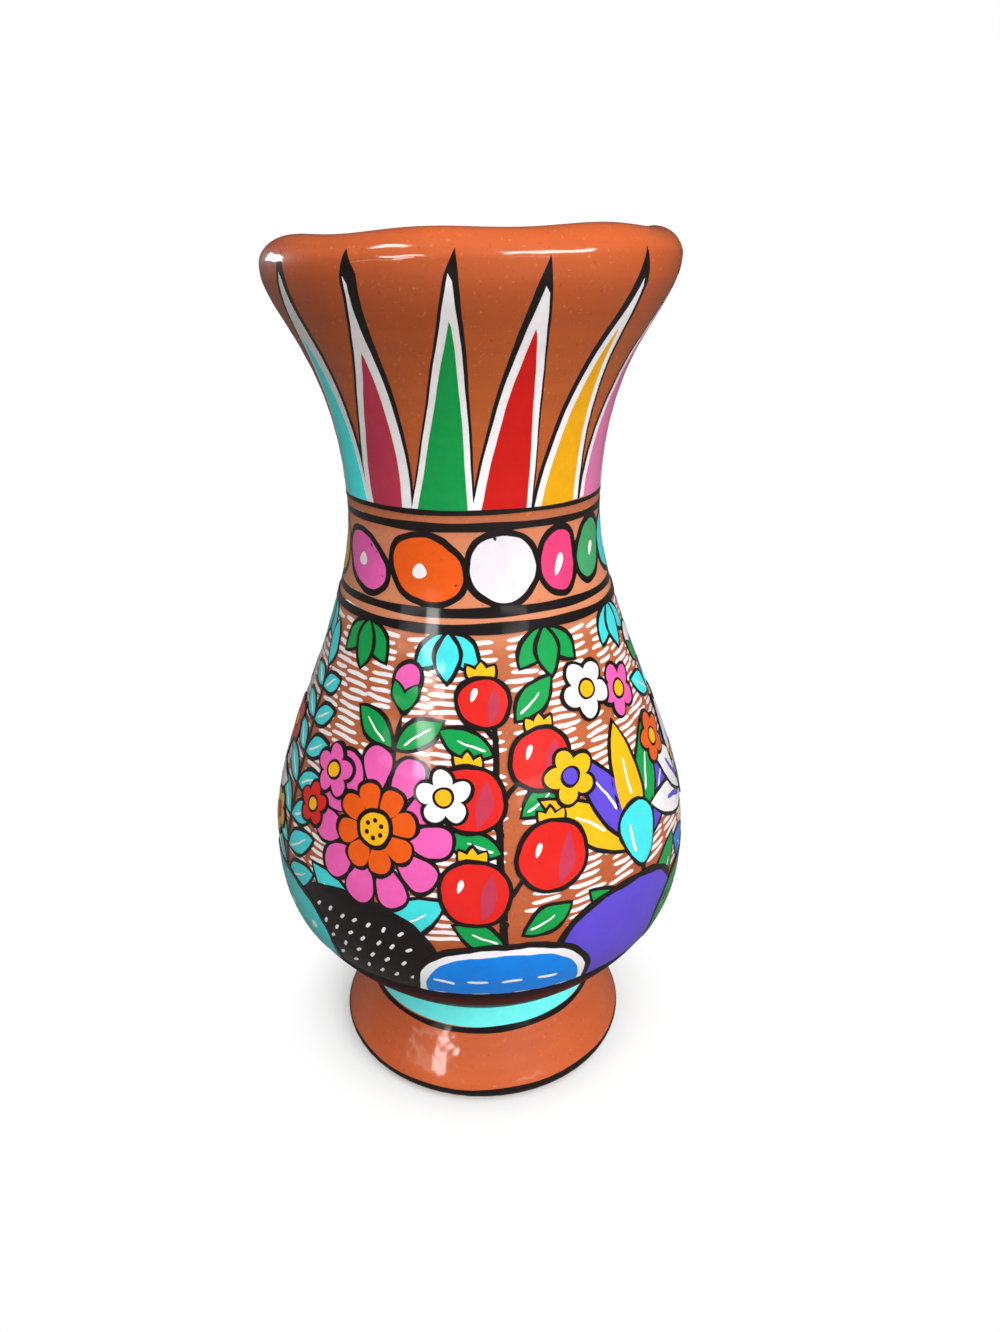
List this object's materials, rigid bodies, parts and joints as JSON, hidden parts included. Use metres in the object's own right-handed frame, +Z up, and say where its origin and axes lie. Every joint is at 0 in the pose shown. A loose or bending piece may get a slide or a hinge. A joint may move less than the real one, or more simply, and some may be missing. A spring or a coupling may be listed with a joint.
{
  "type": "terracotta vase",
  "caption": "Hand-painted terracotta vase with a flared neck, rolled lip, round belly and pedestal foot, ringed by painted spikes, large dots and black brush lines.",
  "frame": {"origin": "centre of the foot's base ring, on the surface the vase stands on", "axes": "+Z up along the axis of the vase; -Y is the side that the picture shows"},
  "size_m": [0.1546, 0.1546, 0.3],
  "materials": {
    "terracotta": "varnished gloss",
    "raw_clay": "matte",
    "black": "gloss enamel paint under varnish",
    "turquoise": "gloss enamel paint under varnish",
    "crimson": "gloss enamel paint under varnish",
    "green": "gloss enamel paint under varnish",
    "red": "gloss enamel paint under varnish",
    "yellow": "gloss enamel paint under varnish",
    "pink": "gloss enamel paint under varnish",
    "orange": "gloss enamel paint under varnish",
    "white": "gloss enamel paint under varnish",
    "rose": "gloss enamel paint under varnish"
  },
  "bodies": {
    "root": {"foot": "terracotta", "waist_coil": "turquoise", "belly": "terracotta", "neck_coil": "raw_clay", "neck": "terracotta", "rim_coil": "terracotta", "spike_base_line": "black", "collar_upper_line": "black", "collar_lower_line": "black", "shoulder_line": "black", "belly_base_band": "black", "waist_line": "black", "foot_line": "black", "spike_01": "turquoise", "spike_02": "crimson", "spike_03": "green", "spike_04": "red", "spike_05": "yellow", "spike_06": "pink", "spike_07": "orange", "spike_08": "turquoise", "spike_09": "crimson", "spike_10": "green", "spike_11": "red", "spike_12": "yellow", "spike_13": "pink", "spike_14": "orange", "dot_01": "pink", "dot_02": "orange", "dot_03": "white", "dot_04": "rose", "dot_05": "green", "dot_06": "turquoise", "dot_07": "red", "dot_08": "yellow", "dot_09": "pink", "dot_10": "green", "dot_11": "white", "dot_12": "orange", "dot_13": "yellow"}
  },
  "joints": []
}
